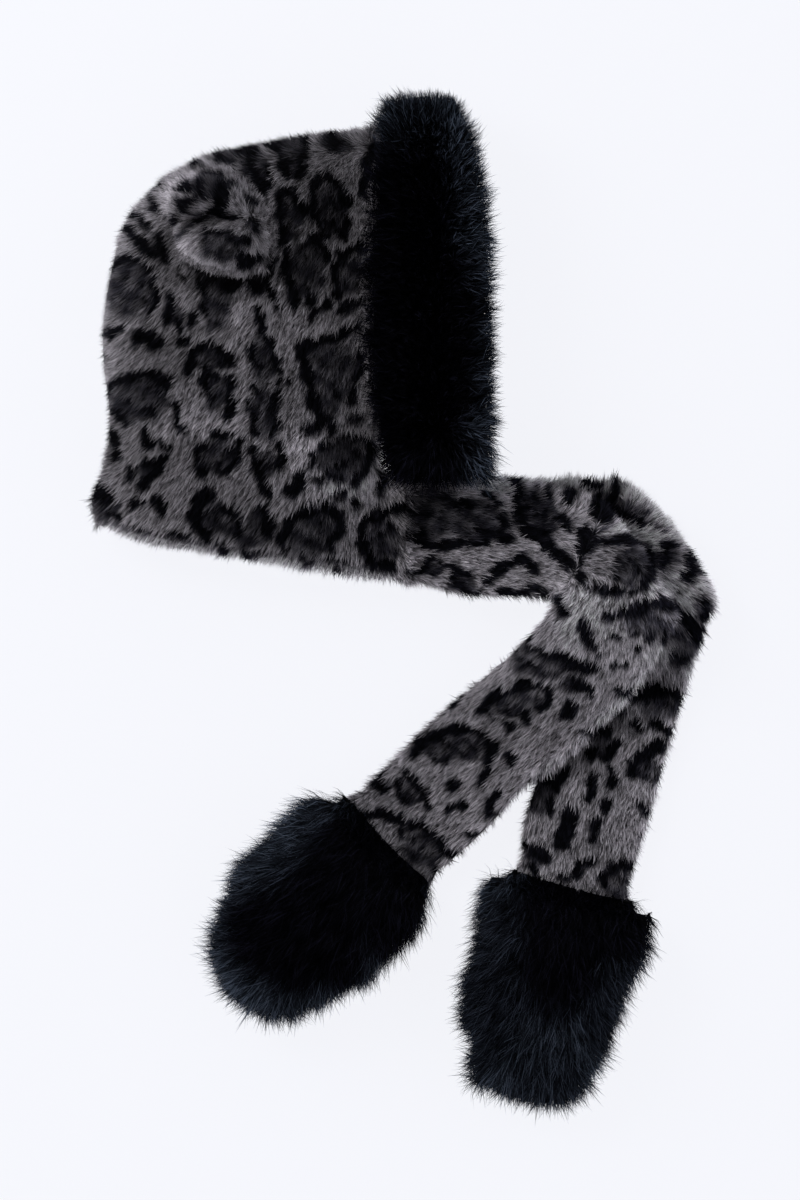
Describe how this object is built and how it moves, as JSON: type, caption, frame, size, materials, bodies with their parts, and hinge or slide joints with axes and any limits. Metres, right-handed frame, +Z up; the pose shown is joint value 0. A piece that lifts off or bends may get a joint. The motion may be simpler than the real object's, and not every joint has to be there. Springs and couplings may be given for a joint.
{
  "type": "faux fur hood with ears and scarf arms",
  "caption": "Spotted faux fur hood with rounded ears, a long pile trim and folded scarf arms that end in fur paws, lying flat on its side.",
  "frame": {"origin": "middle of the footprint on the surface that the hood lies on", "axes": "+X towards the face opening, +Y towards the crown, +Z up from the surface"},
  "size_m": [0.497, 0.819, 0.0831],
  "materials": {
    "spotted_pelt": "short dense faux fur, warm grey with black leopard spots",
    "long_pile": "long black faux fur with a cool sheen"
  },
  "bodies": {
    "root": {"hood": "spotted_pelt", "face_trim": "long_pile", "ear_upper": "spotted_pelt", "ear_lower": "spotted_pelt", "scarf_front": "spotted_pelt", "scarf_back": "spotted_pelt", "paw_front": "long_pile", "paw_back": "long_pile"}
  },
  "joints": []
}
